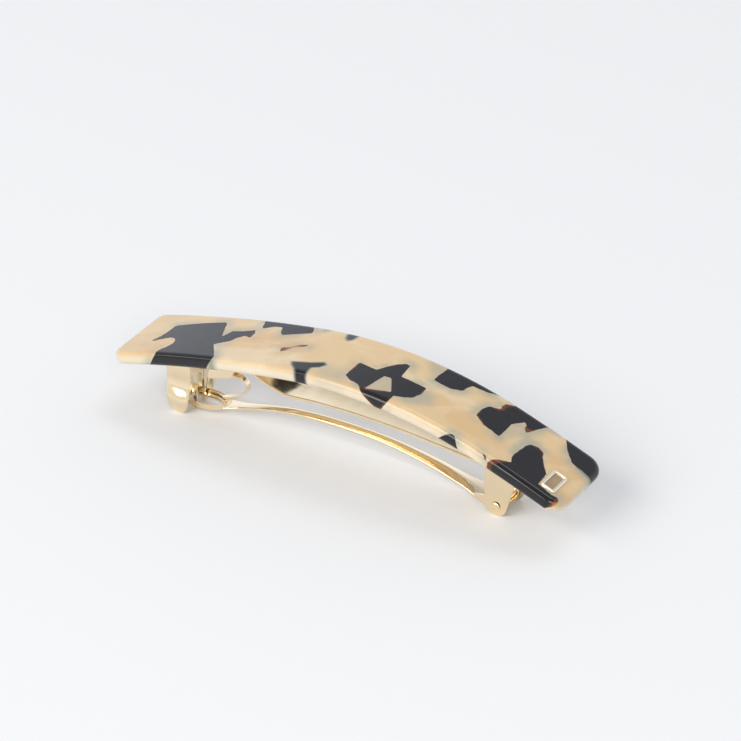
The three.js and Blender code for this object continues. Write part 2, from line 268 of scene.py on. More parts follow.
def acetateFinish():
    sheet = finishSheet("mottled_acetate")
    cloud = sheet.noise(70, 3, 0.5, 0.5, sheet.stretched((0.5, 1.0, 1.0)))
    veil = sheet.noise(130, 3, 0.5, 0.8, sheet.stretched((0.6, 1.0, 1.0)))
    tanShare = sheet.remap(cloud, 0.40, 0.68, 0.0, 0.8, soft=True)
    body = sheet.mixColour(tanShare, acetate["cream"], acetate["tan"])
    paleShare = sheet.remap(veil, 0.50, 0.74, 0.0, 0.5, soft=True)
    body = sheet.mixColour(paleShare, body, acetate["pale"])
    # painted light: the sides turn paler with depth, for the light that falls on them
    paintedSideLightShare = sheet.remap(sheet.attribute("depth"), *acetate["paintedSideLightDepths"], 0.0, 0.62, soft=True)
    body = sheet.mixColour(paintedSideLightShare, body, acetate["paintedSideLight"])
    # the haze round each flake, broken up by noise
    wander = sheet.remap(sheet.noise(1500, 2, 0.5), 0.3, 0.7, -acetate["wander"], acetate["wander"])
    edge = sheet.maths("ADD", sheet.attribute("flakeEdge"), wander)
    nearFlake = sheet.remap(edge, 0.0, acetate["haloReach"], 0.85, 0.0, soft=True)
    broken = sheet.remap(sheet.noise(170, 2), 0.40, 0.62, 0.12, 0.9, soft=True)
    body = sheet.mixColour(sheet.maths("MULTIPLY", nearFlake, broken), body, acetate["haze"])
    deep = sheet.attribute("deepShade")
    body = sheet.mixColour(sheet.remap(deep, 0.0, 0.5), body, acetate["haze"])
    body = sheet.mixColour(sheet.remap(deep, 0.35, 1.0), body, acetate["dark"])
    # the flakes, brown or amber towards the border where they thin out
    warm = sheet.attribute("warmth")
    fromBorder = sheet.maths("ADD", edge, sheet.maths("MULTIPLY", warm, acetate["warmReach"]))
    rim = sheet.remap(fromBorder, -0.1, 0.7, 0.0, 1.0, soft=True)
    brownShare = sheet.maths("MULTIPLY", rim, sheet.remap(warm, 0.0, 0.25))
    flake = sheet.mixColour(brownShare, acetate["dark"], acetate["brown"])
    flake = sheet.mixColour(sheet.remap(warm, 0.72, 1.1, soft=True), flake, acetate["amber"])
    inside = sheet.remap(edge, acetate["softness"], -acetate["softness"], soft=True)
    sheet.feed("Base Color", sheet.mixColour(inside, body, flake))
    sheet.feed("Roughness", sheet.remap(sheet.noise(600, 5, 0.65), 0.3, 0.75, 0.05, 0.11))
    swell = sheet.noise(150, 2)
    scratch = sheet.noise(2600, 2, 0.5, 0.0, sheet.stretched((0.15, 1.0, 1.0)))
    sheet.feed("Normal", sheet.bump(scratch, 0.000003, sheet.bump(swell, 0.00006)))
    sheet.setAll(IOR=1.46, Subsurface_Weight=0.15, Subsurface_Scale=0.001)
    sheet.shader.inputs["Subsurface Radius"].default_value = acetate["subsurface"]
    return sheet.material


def metalFinish(name, colour, shadow, roughness, grain):
    # polished plating: a slow change of tint, rubbed patches and fine lines along the piece
    sheet = finishSheet(name)
    patch = sheet.noise(180, 3, 0.55)
    sheet.feed("Base Color", sheet.mixColour(sheet.remap(patch, 0.35, 0.7, 0.0, 0.6), colour, shadow))
    lines = sheet.noise(2200, 3, 0.6, 0.0, sheet.stretched(grain))
    rubbed = sheet.noise(500, 4, 0.6)
    rough = sheet.maths("ADD", sheet.remap(rubbed, 0.3, 0.7, roughness * 0.7, roughness * 1.4),
                        sheet.remap(lines, 0.3, 0.7, 0.0, 0.04))
    sheet.feed("Roughness", rough)
    sheet.feed("Normal", sheet.bump(lines, 0.000006, sheet.bump(sheet.noise(240, 2), 0.00003)))
    sheet.setAll(Metallic=1.0)
    return sheet.material


def adhesiveFinish():
    # closed-cell foam tape
    sheet = finishSheet("adhesive_foam")
    cells = sheet.noise(3200, 4, 0.7)
    sheet.feed("Base Color", sheet.mixColour(cells, (0.74, 0.70, 0.60), (0.88, 0.85, 0.77)))
    sheet.feed("Roughness", sheet.remap(cells, 0.3, 0.7, 0.55, 0.8))
    sheet.feed("Normal", sheet.bump(cells, 0.00004))
    return sheet.material


finishes = {
    "acetate": acetateFinish(),
    "gold": metalFinish("gold_plate", (0.93, 0.785, 0.56), (0.90, 0.72, 0.46), 0.10, (0.08, 1.0, 1.0)),
    "spring": metalFinish("spring_gold", (0.93, 0.775, 0.54), (0.87, 0.68, 0.42), 0.11, (0.1, 1.0, 1.0)),
    "paleGold": metalFinish("pale_gold_trim", (0.94, 0.86, 0.72), (0.90, 0.80, 0.63), 0.15, (1.0, 1.0, 1.0)),
    "field": metalFinish("brushed_field", (0.50, 0.37, 0.22), (0.36, 0.25, 0.14), 0.30, (0.06, 1.0, 1.0)),
    "adhesive": adhesiveFinish(),
}
print("finishes made")

# shared shapes

arch = {
    "startHeading": 17.3,       # degrees above level at the catch end
    "arcs": ((41.0, 8.3), (47.0, 27.4), (21.0, 3.7)),   # length, and degrees turned downwards
    "midHeight": 22.85,
}
archLength = sum(length for length, turn in arch["arcs"])


def archWalk(along, depth):
    # X, Z and heading at a distance along the plate's top, and at a depth below it
    heading, x, z, left = radians(arch["startHeading"]), 0.0, 0.0, along
    for index, (length, turn) in enumerate(arch["arcs"]):
        used = left if index == len(arch["arcs"]) - 1 else min(left, length)
        bend = radians(turn) / length
        ahead = heading - bend * used
        x += (sin(heading) - sin(ahead)) / bend
        z += (cos(ahead) - cos(heading)) / bend
        heading = ahead
        left -= used
    return x + sin(heading) * depth, z - cos(heading) * depth, heading


archShiftX = archWalk(archLength, 0)[0] / 2
archShiftZ = arch["midHeight"] - archWalk(archLength / 2, 0)[1]


def onArch(along, depth):
    x, z, heading = archWalk(along, depth)
    return x - archShiftX, z + archShiftZ


def seatMatrix(along, depth, y):
    x, z = onArch(along, depth)
    return Matrix.Translation((x, y, z)) @ Matrix.Rotation(-archWalk(along, depth)[2], 4, "Y")


def throughPoints(points, steps):
    # a smooth line through the points, with its steps spread evenly along it
    dense = []
    finer = 24
    last = len(points) - 1
    for i in range(last):
        a, b = points[max(i - 1, 0)], points[i]
        c, d = points[i + 1], points[min(i + 2, last)]
        for k in range(finer):
            t = k / finer
            dense.append(tuple(
                0.5 * (2 * q + (r - p) * t + (2 * p - 5 * q + 4 * r - s) * t * t
                       + (3 * q - p - 3 * r + s) * t ** 3)
                for p, q, r, s in zip(a, b, c, d)))
    dense.append(tuple(points[last]))
    dense = np.array(dense, float)
    run = np.concatenate([[0], np.cumsum(np.linalg.norm(np.diff(dense, axis=0), axis=1))])
    wanted = np.linspace(0, run[-1], steps + 1)
    return np.stack([np.interp(wanted, run, dense[:, k]) for k in range(dense.shape[1])], 1)


def arcPoints(centre, radius, start, end, steps):
    return [(centre[0] + radius * cos(start + (end - start) * k / steps),
             centre[1] + radius * sin(start + (end - start) * k / steps)) for k in range(steps + 1)]


def roundedOutline(points, radii, steps=5):
    # a polygon with each corner rounded to its own radius
    outline = []
    count = len(points)
    for i in range(count):
        here = Vector(points[i])
        before, after = Vector(points[i - 1]) - here, Vector(points[(i + 1) % count]) - here
        radius = radii if isinstance(radii, (int, float)) else radii[i]
        reach = min(radius, before.length * 0.49, after.length * 0.49)
        if reach < 0.01:
            outline.append(tuple(here))
            continue
        start, end = here + before.normalized() * reach, here + after.normalized() * reach
        for k in range(steps + 1):
            t = k / steps
            outline.append(tuple(start * (1 - t) ** 2 + here * 2 * t * (1 - t) + end * t * t))
    return outline


def loft(bm, rings, closed=False):
    # rings of points joined in turn: a capped solid, or a closed loop of rings
    rows = [[bm.verts.new(point) for point in ring] for ring in rings]
    count = len(rows[0])
    pairs = list(zip(rows, rows[1:])) + ([(rows[-1], rows[0])] if closed else [])
    for lower, upper in pairs:
        for k in range(count):
            bm.faces.new((lower[k], lower[(k + 1) % count], upper[(k + 1) % count], upper[k]))
    if not closed:
        bm.faces.new(rows[0][::-1])
        bm.faces.new(rows[-1])


slabAxes = {
    "X": lambda a, b, level: (level, a, b),
    "Y": lambda a, b, level: (a, level, b),
}


def slab(bm, outline, low, high, axis, bevel, rows=3):
    # an outline given thickness along an axis, with both rims rounded by the bevel
    place = slabAxes[axis]
    points = [Vector(p) for p in outline]
    turn = sum(a.x * b.y - b.x * a.y for a, b in zip(points, points[1:] + points[:1]))
    inward = []
    for before, here, after in zip(points[-1:] + points[:-1], points, points[1:] + points[:1]):
        way = (here - before).normalized() + (after - here).normalized()
        side = Vector((-way.y, way.x)) if turn > 0 else Vector((way.y, -way.x))
        inward.append(side.normalized() if side.length > 1e-6 else Vector((0, 0)))
    rings = [(bevel * 1.3, low)]        # keeps the flats flat where the rounded rim starts
    for k in range(rows + 1):
        angle = pi / 2 * k / rows
        rings.append((bevel * (1 - sin(angle)), low + bevel * (1 - cos(angle))))
    rings += [(inset, high - (level - low)) for inset, level in rings[::-1]]
    loft(bm, [[place(*(p + n * inset), level) for p, n in zip(points, inward)] for inset, level in rings])


def lathe(profile, matrix, turns=32, stretch=1.0):
    # rings for a profile of radius and height, turned about the matrix's Z
    rings = []
    for radius, height in profile:
        rings.append([matrix @ Vector((radius * stretch * cos(2 * pi * k / turns),
                                       radius * sin(2 * pi * k / turns), height)) for k in range(turns)])
    return rings


edgeBulge = 0.4     # how far a cut edge bulges, against half the sheet's thickness
edgeAngles = [radians(angle) for angle in (60, 30, 0, -30, -60)]


def directions(line):
    ways = np.gradient(line, axis=0)
    return ways / np.linalg.norm(ways, axis=1)[:, None]


def strip(bm, line, thickness, halfWidths, crowns=0.0, across=10, crownPower=2.0):
    # sheet metal bent along a line in X and Z, with slightly bulging edges and a crown across it
    # half widths and crowns are one number each, or one for every step of the line
    half = thickness / 2
    bulge = half * edgeBulge
    widths = np.broadcast_to(halfWidths, len(line))
    lifts = np.broadcast_to(crowns, len(line))
    rings = []
    for (x, z), (wayX, wayZ), width, lift in zip(line, directions(line), widths, lifts):
        inner = width - bulge
        ring = []
        for side in (1, -1):        # the upper face and one edge, then the lower face and the other
            for k in range(across + 1):
                y = side * (2 * inner * k / across - inner)
                ring.append((y, side * half + lift * (1 - abs(y / width) ** crownPower)))
            for angle in edgeAngles:
                ring.append((side * (inner + bulge * cos(angle)), side * half * sin(angle)))
        rings.append([(x - wayZ * up, y, z + wayX * up) for y, up in ring])
    loft(bm, rings)


def placePiece(name, mesh, finish, body, nodes):
    piece = bpy.data.objects.new(name, mesh)
    bpy.context.scene.collection.objects.link(piece)
    mesh.materials.append(finishes[finish])
    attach(piece, body)
    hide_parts(*nodes)
    print("made", name, len(mesh.polygons), "faces")
    return piece


def finishPiece(name, bm, finish, body, nodes, sharpAngle=38, matrix=None):
    if matrix:
        bmesh.ops.transform(bm, matrix=matrix, verts=bm.verts)
    bmesh.ops.recalc_face_normals(bm, faces=bm.faces)
    bmesh.ops.scale(bm, vec=(mm, mm, mm), verts=bm.verts)
    mesh = bpy.data.meshes.new(name)
    bm.to_mesh(mesh)
    bm.free()
    mesh.set_sharp_from_angle(angle=radians(sharpAngle))
    # the many-sided end faces stay flat
    mesh.polygons.foreach_set("use_smooth", [len(face.vertices) == 4 for face in mesh.polygons])
    return placePiece(name, mesh, finish, body, nodes)


# acetate plate

plate = {
    "width": 18.6,
    "thickness": 3.0,
    "corners": {"catch": 2.5, "hinge": 3.6},
    "edgeRound": 1.25,
    "cell": 0.36,       # size of the mesh's squares, small enough to carry the flakes' outlines
    "edgeSteps": 7,
    "sideSteps": 8,
}

# Dark flakes cast into the sheet. Each outline is along the plate from its middle, then across it.
# slide: how far the flake moves along the plate for each millimetre down. narrow: how fast it shrinks.
# hole: a cream patch inside the flake.
flakes = [
    {"outline": [(-46.4, 3.5), (-41.0, 5.1), (-35.6, 6.2), (-34.8, 5.6), (-34.2, 4.0), (-32.5, 0.2),
                 (-31.5, 2.8), (-29.1, 3.2), (-26.8, 4.2), (-26.1, 3.0), (-25.9, 0.8), (-27.5, 1.4),
                 (-28.8, 0.2), (-29.4, -1.4), (-31.0, -2.4), (-32.2, -3.3), (-30.0, -6.4),
                 (-28.9, -8.2), (-28.3, -14.0), (-41.5, -14.0), (-43.3, -8.2), (-43.2, -7.2),
                 (-42.4, -5.9), (-41.8, -4.2), (-42.1, -3.0), (-42.9, -2.0), (-44.1, -1.8),
                 (-45.4, -2.4), (-47.2, -3.6), (-47.9, -3.4), (-47.0, -1.6), (-46.6, 0.2)],
     "slide": -0.8, "narrow": 0.0},
    {"outline": [(-28.2, 12.0), (-26.1, 5.8), (-25.6, 5.2), (-23.4, 6.5), (-21.7, 6.6), (-20.7, 4.4),
                 (-19.8, 3.6), (-14.0, 6.0), (-14.5, 7.3), (-17.6, 12.0)],
     "slide": 0.2, "narrow": 0.1},
    {"outline": [(1.1, -0.3), (5.4, -0.9), (6.6, 1.4), (7.8, 3.2), (9.2, 4.5), (10.2, 4.3),
                 (10.7, 0.0), (16.7, -0.2), (16.9, -2.6), (16.2, -4.7), (14.6, -5.9), (12.9, -6.6),
                 (13.2, -14.0), (8.3, -14.0), (6.2, -9.1), (5.9, -8.1), (4.9, -7.3), (3.0, -7.0),
                 (1.2, -5.7)],
     "hole": [(7.9, -1.9), (9.4, -1.7), (11.9, -5.8), (7.0, -7.9), (7.5, -4.3)],
     "slide": 0.5, "narrow": 1.0},
    {"outline": [(17.0, 12.0), (16.3, 5.3), (16.4, 3.2), (18.5, 3.0), (20.3, 3.0), (22.6, 4.2),
                 (22.7, 5.7), (23.2, 6.9), (26.8, 7.6), (29.4, 9.0), (29.6, 12.0)],
     "slide": 0.3, "narrow": 0.2},
    {"outline": [(27.1, -14.0), (27.2, -9.7), (27.8, -8.8), (28.6, -8.9), (29.1, -9.9), (29.1, -14.0)],
     "slide": -0.1, "narrow": -0.65},
    {"outline": [(28.3, 2.3), (28.9, 4.1), (30.8, 5.0), (31.0, 5.6), (30.7, 6.1), (31.0, 7.4),
                 (32.5, 8.3), (33.6, 12.0), (46.0, 12.0), (44.3, 8.9), (40.5, 8.5), (39.4, 6.2),
                 (38.8, 4.6), (38.2, 3.3), (37.3, 4.4), (37.2, 5.3), (36.5, 5.9), (34.9, 3.2),
                 (35.0, -1.0), (34.9, -2.0), (33.0, -1.7), (31.0, -1.6), (28.4, -0.2)],
     "slide": 0.2, "narrow": 0.2},
    {"outline": [(34.9, -8.5), (36.0, -8.6), (37.4, -9.6), (37.2, -10.4), (36.3, -10.1), (35.3, -9.2)],
     "slide": 0.4, "narrow": 0.5},
    {"outline": [(36.6, -14.0), (36.9, -9.3), (38.4, -7.8), (39.6, -7.0), (40.6, -6.4), (39.9, -5.0),
                 (39.8, -3.7), (40.2, 0.2), (40.7, 1.3), (42.2, 1.9), (43.8, 1.3), (44.2, 0.2),
                 (45.8, -1.8), (47.3, -3.3), (47.6, -7.0), (51.0, -7.4), (52.3, -7.1), (53.6, -8.3),
                 (53.6, -14.0)],
     "slide": -0.5, "narrow": 0.45},
    {"outline": [(43.4, 12.0), (44.8, 8.6), (46.8, 5.9), (49.1, 3.8), (50.3, 3.5), (51.8, 3.6),
                 (53.2, 3.3), (58.0, 3.0), (58.0, 12.0)],
     "slide": 0.0, "narrow": 0.1},
]

# Flakes lying deeper in the sheet, seen blurred: softness in millimetres, strength from 0 to 1.
deepFlakes = [
    {"outline": [(-13.2, 9.4), (-12.8, 7.4), (-11.8, 7.1), (-10.6, 8.3), (-10.9, 9.4)],
     "soft": 0.8, "strength": 0.45},
    {"outline": [(-6.4, 12.0), (-6.9, 7.7), (-6.5, 6.5), (-5.5, 5.7), (-4.6, 6.6), (-4.3, 8.2),
                 (-4.6, 12.0)],
     "soft": 0.55, "strength": 0.92},
    {"outline": [(-11.6, -5.8), (-7.5, -4.7), (-5.0, -3.5), (-4.0, -4.3), (-4.9, -5.8), (-6.3, -6.6),
                 (-6.1, -8.6), (-5.4, -14.0), (-8.5, -14.0), (-8.6, -9.6), (-9.5, -8.2), (-10.8, -7.1)],
     "soft": 0.42, "strength": 1.0},
    {"outline": [(6.9, -1.4), (10.0, -1.2), (12.4, -6.2), (6.4, -8.4)],
     "soft": 0.8, "strength": 0.28},
    {"outline": [(-4.6, -4.0), (1.0, -4.4), (2.4, -9.0), (-3.0, -9.6), (-5.6, -7.0)],
     "soft": 1.8, "strength": 0.22},
    {"outline": [(15.0, -0.6), (19.4, -1.2), (20.4, -4.6), (17.0, -6.6), (13.2, -6.6)],
     "soft": 1.5, "strength": 0.34},
    {"outline": [(12.2, 9.4), (15.4, 8.6), (17.5, 3.2), (14.8, 4.6), (12.8, 7.0)],
     "soft": 1.4, "strength": 0.3},
    {"outline": [(34.4, 3.6), (38.6, 3.0), (37.5, 0.2), (34.6, -2.4)],
     "soft": 1.3, "strength": 0.26},
    {"outline": [(38.6, 2.8), (41.2, 2.8), (40.6, -4.8), (38.4, -2.0)],
     "soft": 1.0, "strength": 0.34},
    {"outline": [(49.0, 5.0), (50.6, 3.0), (58.0, 1.6), (58.0, 12.0), (49.0, 12.0)],
     "soft": 1.3, "strength": 0.7},
    {"outline": [(-29.6, -6.0), (-28.4, -8.0), (-27.8, -14.0), (-31.0, -14.0)],
     "soft": 0.9, "strength": 0.5},
    {"outline": [(53.2, 6.0), (58.0, 6.0), (58.0, -6.0), (54.4, -6.0)],
     "soft": 0.9, "strength": 0.18},
]

# Where a flake thins out and shows brown or amber: along, across, reach and strength.
warmSpots = [(53.6, -8.9, 2.2, 1.2), (38.0, -8.2, 2.6, 0.62), (31.0, 6.4, 3.2, 0.55),
             (38.3, 3.7, 1.9, 0.75), (9.4, -9.0, 4.6, 0.45), (36.9, -9.6, 1.8, 0.6),
             (-30.0, -3.4, 2.4, 0.25), (-14.4, -0.6, 4.0, 0.95), (42.6, 1.6, 3.0, 0.3),
             (1.2, -2.5, 2.6, 0.3), (29.5, -0.6, 3.4, 0.3), (-47.0, -2.6, 2.6, 0.3),
             (-27.0, 2.6, 2.6, 0.25), (16.8, -2.5, 3.0, 0.25), (-20.0, 4.2, 3.0, 0.2)]

# A thin see-through brown sliver.
sliver = {
    "outline": [(-16.9, -1.3), (-16.2, -2.9), (-15.2, -2.0), (-14.4, -0.5), (-13.0, 0.2), (-11.9, 0.7),
                (-12.2, 1.3), (-13.6, 0.9), (-15.2, -0.6)],
    "slide": 0.0,
    "narrow": 1.2,
}


def outlineDistance(points, outline):
    # signed distance in millimetres, below zero inside
    a = np.array(outline, float)
    b = np.roll(a, -1, axis=0)
    nearest = np.full(len(points), 1e9)
    inside = np.zeros(len(points), bool)
    for (ax, ay), (bx, by) in zip(a, b):
        wayX, wayY = bx - ax, by - ay
        offX, offY = points[:, 0] - ax, points[:, 1] - ay
        t = np.clip((offX * wayX + offY * wayY) / (wayX ** 2 + wayY ** 2), 0, 1)
        nearest = np.minimum(nearest, np.hypot(offX - t * wayX, offY - t * wayY))
        if ay != by:
            crosses = (ay > points[:, 1]) != (by > points[:, 1])
            inside ^= crosses & (offX < wayX * offY / wayY)
    return np.where(inside, -nearest, nearest)


def paintFlakes(along, across, depth):
    # for every point: the distance to the nearest flake's border, its warmth and the shade from below
    farAway = 9.0
    edge = np.full(len(along), farAway)
    for flake in flakes + [sliver]:
        spots = np.stack([along - flake["slide"] * depth, across], 1)
        distance = outlineDistance(spots, flake["outline"]) + flake["narrow"] * depth
        if "hole" in flake:
            distance = np.maximum(distance, -outlineDistance(spots, flake["hole"]))
        edge = np.minimum(edge, distance)
    warmth = np.zeros(len(along))
    for spotAlong, spotAcross, reach, strength in warmSpots:
        gap = np.hypot(along - spotAlong, across - spotAcross) / reach
        warmth = np.maximum(warmth, strength * np.clip(1 - gap * gap, 0, 1))
    shade = np.zeros(len(along))
    for flake in deepFlakes:
        distance = outlineDistance(np.stack([along, across], 1), flake["outline"])
        t = np.clip(0.5 - distance / (2 * flake["soft"]), 0, 1)
        shade = np.maximum(shade, flake["strength"] * t * t * (3 - 2 * t))
    return edge, warmth, shade


def stations(half):
    # places along one side, packed close together over the rounded edge
    edge, cell = plate["edgeRound"], plate["cell"]
    count = round(2 * (half - edge) / cell)
    inner = [-(half - edge) + 2 * (half - edge) * k / count for k in range(count + 1)]
    turns = [pi / 2 * k / plate["edgeSteps"] for k in range(1, plate["edgeSteps"] + 1)]
    steps = [half - edge * (1 - sin(turn)) for turn in turns]
    return [-s for s in steps[::-1]] + inner + steps


def roundCorner(u, v, halfU, halfV):
    # moves a point of the full rectangle into the one with rounded corners
    corner = plate["corners"]["catch" if u < 0 else "hinge"]
    a, b = (abs(u) - halfU + corner) / corner, (abs(v) - halfV + corner) / corner
    if a <= 0 or b <= 0:
        return u, v, min(halfU - abs(u), halfV - abs(v))
    roundA, roundB = a * sqrt(1 - b * b / 2), b * sqrt(1 - a * a / 2)
    u = (halfU - corner + corner * roundA) * (1 if u > 0 else -1)
    v = (halfV - corner + corner * roundB) * (1 if v > 0 else -1)
    return u, v, corner * (1 - hypot(roundA, roundB))


def makePlate():
    halfU, halfV = archLength / 2, plate["width"] / 2
    edge, thick = plate["edgeRound"], plate["thickness"]
    us, vs = stations(halfU), stations(halfV)
    spots = []

    def spot(u, v, depth):
        spots.append((u, v, depth))
        return len(spots) - 1

    faces, top, bottom = [], {}, {}
    for i, u in enumerate(us):
        for j, v in enumerate(vs):
            pu, pv, rimGap = roundCorner(u, v, halfU, halfV)
            rimGap = min(max(rimGap, 0), edge)
            drop = edge - sqrt(max(edge ** 2 - (edge - rimGap) ** 2, 0))
            top[i, j] = spot(pu, pv, drop)
            bottom[i, j] = spot(pu, pv, thick - drop)
    for i in range(len(us) - 1):
        for j in range(len(vs) - 1):
            faces.append((top[i, j], top[i + 1, j], top[i + 1, j + 1], top[i, j + 1]))
            faces.append((bottom[i, j], bottom[i, j + 1], bottom[i + 1, j + 1], bottom[i + 1, j]))
    lastI, lastJ = len(us) - 1, len(vs) - 1
    loop = [(i, 0) for i in range(lastI)] + [(lastI, j) for j in range(lastJ)]
    loop += [(i, lastJ) for i in range(lastI, 0, -1)] + [(0, j) for j in range(lastJ, 0, -1)]
    previous = [top[key] for key in loop]
    for k in range(1, plate["sideSteps"] + 1):
        if k == plate["sideSteps"]:
            row = [bottom[key] for key in loop]
        else:
            depth = edge + (thick - 2 * edge) * k / plate["sideSteps"]
            row = [spot(*spots[top[key]][:2], depth) for key in loop]
        for n in range(len(loop)):
            m = (n + 1) % len(loop)
            faces.append((previous[n], row[n], row[m], previous[m]))
        previous = row
    table = np.array(spots)
    points = []
    for u, v, depth in spots:
        x, z = onArch(u + halfU, depth)
        points.append((x * mm, v * mm, z * mm))
    mesh = bpy.data.meshes.new("acetate_plate")
    mesh.from_pydata(points, [], faces)
    painted = (*paintFlakes(table[:, 0], table[:, 1], table[:, 2]), table[:, 2])
    for name, values in zip(("flakeEdge", "warmth", "deepShade", "depth"), painted):
        mesh.attributes.new(name, "FLOAT", "POINT").data.foreach_set("value", values.astype(np.float32))
    mesh.shade_smooth()
    placePiece("acetate_plate", mesh, "acetate", "plate_and_clip", ["top_plate"])


makePlate()

# plaque: plain bevelled tablet with a raised rim

plaque = {
    "along": 104.0,
    "y": -4.1,
    "length": 3.4,
    "width": 6.0,
    "corner": 0.85,
    "leastCorner": 0.12,
    # inset from the outside and height above the plate: up the side, over the rim, into the shallow field
    "profile": [(0.0, -0.15), (0.0, 0.24), (0.05, 0.36), (0.16, 0.45), (0.58, 0.45), (0.66, 0.38),
                (0.74, 0.16), (0.90, 0.12)],
    "fieldBands": 2,            # the innermost bands, which share the field's finish
}


def rectangle(length, width):
    x, y = length / 2, width / 2
    return [(-x, -y), (x, -y), (x, y), (-x, y)]


def makePlaque():
    bm = bmesh.new()
    rings = []
    for inset, level in plaque["profile"]:
        corner = max(plaque["corner"] - inset, plaque["leastCorner"])
        sides = rectangle(plaque["length"] - 2 * inset, plaque["width"] - 2 * inset)
        rings.append([(x, y, level) for x, y in roundedOutline(sides, corner, 6)])
    loft(bm, rings)
    tablet = finishPiece("plaque_tablet", bm, "paleGold", "plate_and_clip", ["plaque"], 50,
                         seatMatrix(plaque["along"], 0, plaque["y"]))
    tablet.data.materials.append(finishes["field"])
    # the bands come first, from the outside in, then the lower cap and the upper one
    faces, band = tablet.data.polygons, len(rings[0])
    bandsEnd = (len(rings) - 1) * band
    for index in [*range(bandsEnd - plaque["fieldBands"] * band, bandsEnd), len(faces) - 1]:
        faces[index].material_index = 1


makePlaque()

# base strip, with its hinge ears and the short skirts by the catch

sheetMetal = {
    "thickness": 0.6,
    "baseTop": 3.74,            # depth below the plate's top face
    "halfWidth": 3.8,
    "baseEnds": (9.6, 95.6),    # where the strip starts and ends along the plate
    "overlap": 0.4,             # depth in the strip at which ears and skirts end, against its thickness
    "inset": 0.02,              # keeps the strip's edges just inside the ears' outer faces
    "bevel": 0.14,
}
pivot = (35.3, 2.2)

# X of each ear's two sides at the strip, with their places along the plate, and its waist and foot
ear = {
    "innerX": 32.2,
    "outerX": 40.2,
    "innerAlong": 86,
    "outerAlong": 95,
    "innerWaist": (32.6, 4.6),
    "outerWaist": (38.9, 6.5),
    "footRadius": 2.35,
    "footTurn": (pi, pi * 1.89),
}
skirtPlan = {
    "foot": [(-33.1, 9.6), (-27.0, 11.5)],
    "topAlong": (27.2, 20.8),
    "corners": [0.9, 0.6, 0.0, 0.0],
}


def archLine(start, end, depth, steps=70):
    return np.array([onArch(start + (end - start) * k / steps, depth) for k in range(steps + 1)])


def makeBase():
    thick, half = sheetMetal["thickness"], sheetMetal["halfWidth"]
    bm = bmesh.new()
    line = archLine(*sheetMetal["baseEnds"], sheetMetal["baseTop"] + thick / 2)
    strip(bm, line, thick, half - sheetMetal["inset"], 0.0, 8)
    under = sheetMetal["baseTop"] + thick * sheetMetal["overlap"]
    earOutline = [(ear["innerX"], onArch(ear["innerAlong"], under)[1]), ear["innerWaist"]]
    earOutline += arcPoints(pivot, ear["footRadius"], *ear["footTurn"], 14)
    earOutline += [ear["outerWaist"], (ear["outerX"], onArch(ear["outerAlong"], under)[1])]
    skirtTop = [onArch(along, under) for along in skirtPlan["topAlong"]]
    skirt = roundedOutline(skirtPlan["foot"] + skirtTop, skirtPlan["corners"])
    for side in (-1, 1):
        for outline in (earOutline, skirt):
            low, high = sorted((side * half, side * (half - thick)))
            slab(bm, outline, low, high, "Y", sheetMetal["bevel"])
    finishPiece("base_channel", bm, "gold", "plate_and_clip", ["base_strip"])


makeBase()

# hinge pin

pin = {
    "standsOut": 0.12,
    # radius and height of its rounded head, from the hole in its end to the shank
    "head": [(0.12, -0.36), (0.45, -0.35), (0.72, -0.27), (0.88, -0.14), (0.93, -0.03), (0.62, 0.0)],
}


def turnedPin(name, profile, matrix, nodes):
    bm = bmesh.new()
    loft(bm, lathe(profile, matrix))
    finishPiece(name, bm, "gold", "plate_and_clip", nodes, 45)


def makePin():
    reach, head = sheetMetal["halfWidth"] + pin["standsOut"], pin["head"]
    profile = [(r, -reach + h) for r, h in head] + [(r, reach - h) for r, h in head[::-1]]
    matrix = Matrix.Translation((pivot[0], 0, pivot[1])) @ Matrix.Rotation(-pi / 2, 4, "X")
    turnedPin("hinge_pin_turned", profile, matrix, ["hinge_pin"])


makePin()

# kick spring and its rivet

spring = {
    "thickness": 0.4,
    "rivetAlong": 18.4,
    "gap": 0.12,                        # between the base strip and the leaf
    "halfWidth": 0.7,
    "tipTaper": 0.35,
    "flangeHalfWidth": 2.0,
    "flangeTaper": 0.5,
    "flange": (-1.7, -0.6, 0.5, 1.6),   # steps in X from the rivet, along the base strip
    "bend": [(2.5, 0.2), (2.9, 1.3)],   # steps in X and falls from the rivet
    "loopStart": (3.6, 10.3),           # step in X from the rivet, and height
    "loop": [(-30.6, 10.0), (-28.8, 10.05), (-26.9, 9.9), (-25.7, 9.1), (-25.4, 8.0), (-26.0, 6.7),
             (-27.7, 5.4), (-29.8, 4.35), (-31.6, 3.75)],
    # radius and height of the rivet's head
    "rivetHead": [(0.15, 0.42), (0.6, 0.38), (1.0, 0.24), (1.3, 0.04), (1.28, 0.0), (0.6, 0.0)],
    "rivetShank": 0.6,
}


